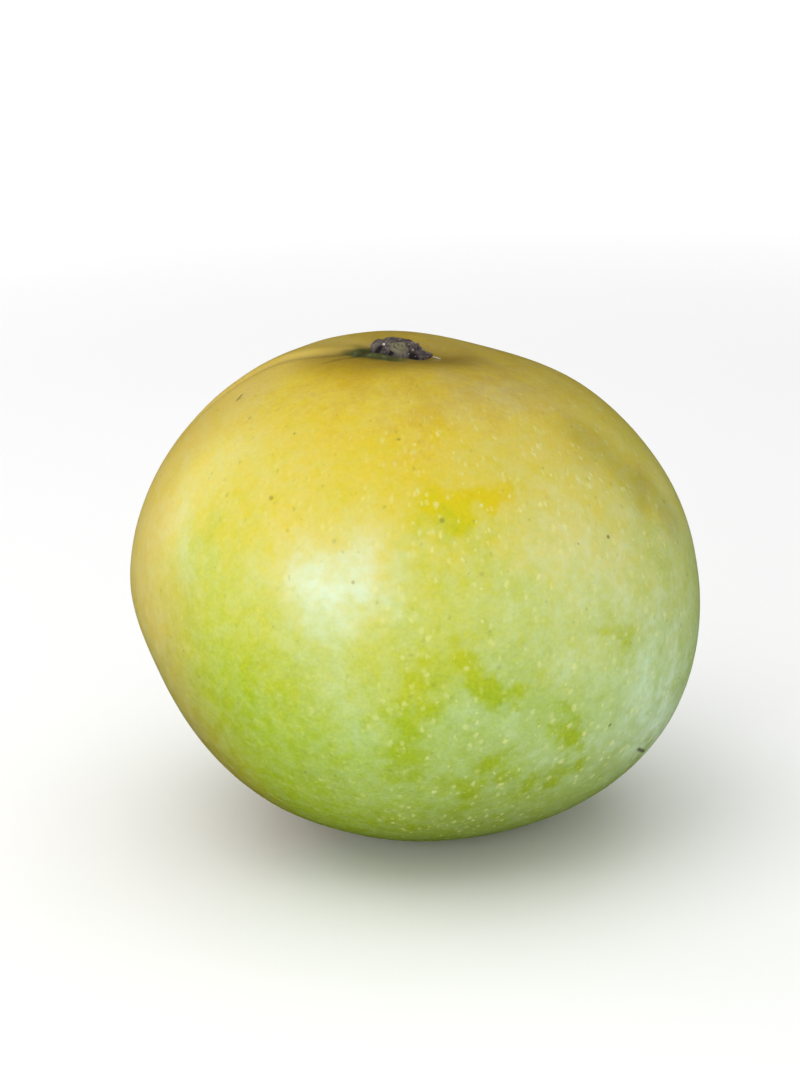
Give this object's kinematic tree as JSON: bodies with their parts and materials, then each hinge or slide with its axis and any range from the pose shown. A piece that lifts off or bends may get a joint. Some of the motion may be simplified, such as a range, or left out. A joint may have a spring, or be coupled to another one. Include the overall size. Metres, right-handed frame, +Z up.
{
  "type": "mango",
  "caption": "Whole round mango, wider than tall, standing stem up: a smooth waxy fruit with a shallow stem hollow and a furrow down its ventral shoulder, and a dry corky stem stub.",
  "frame": {"origin": "on the surface that the fruit rests on, below the middle of its outline seen from above", "axes": "+Z up through the stem end, +X from the ventral side with the furrow to the dorsal side, Y from cheek to cheek"},
  "size_m": [0.101, 0.09, 0.0895],
  "materials": {
    "skin": "waxy fruit skin, yellow to lime green, satin, with a pale bloom and fine pale dots",
    "cork": "dry grey-brown corky stem end, matte and crumbly"
  },
  "bodies": {
    "root": {"fruit": "skin", "stem_stub": "cork"}
  },
  "joints": []
}
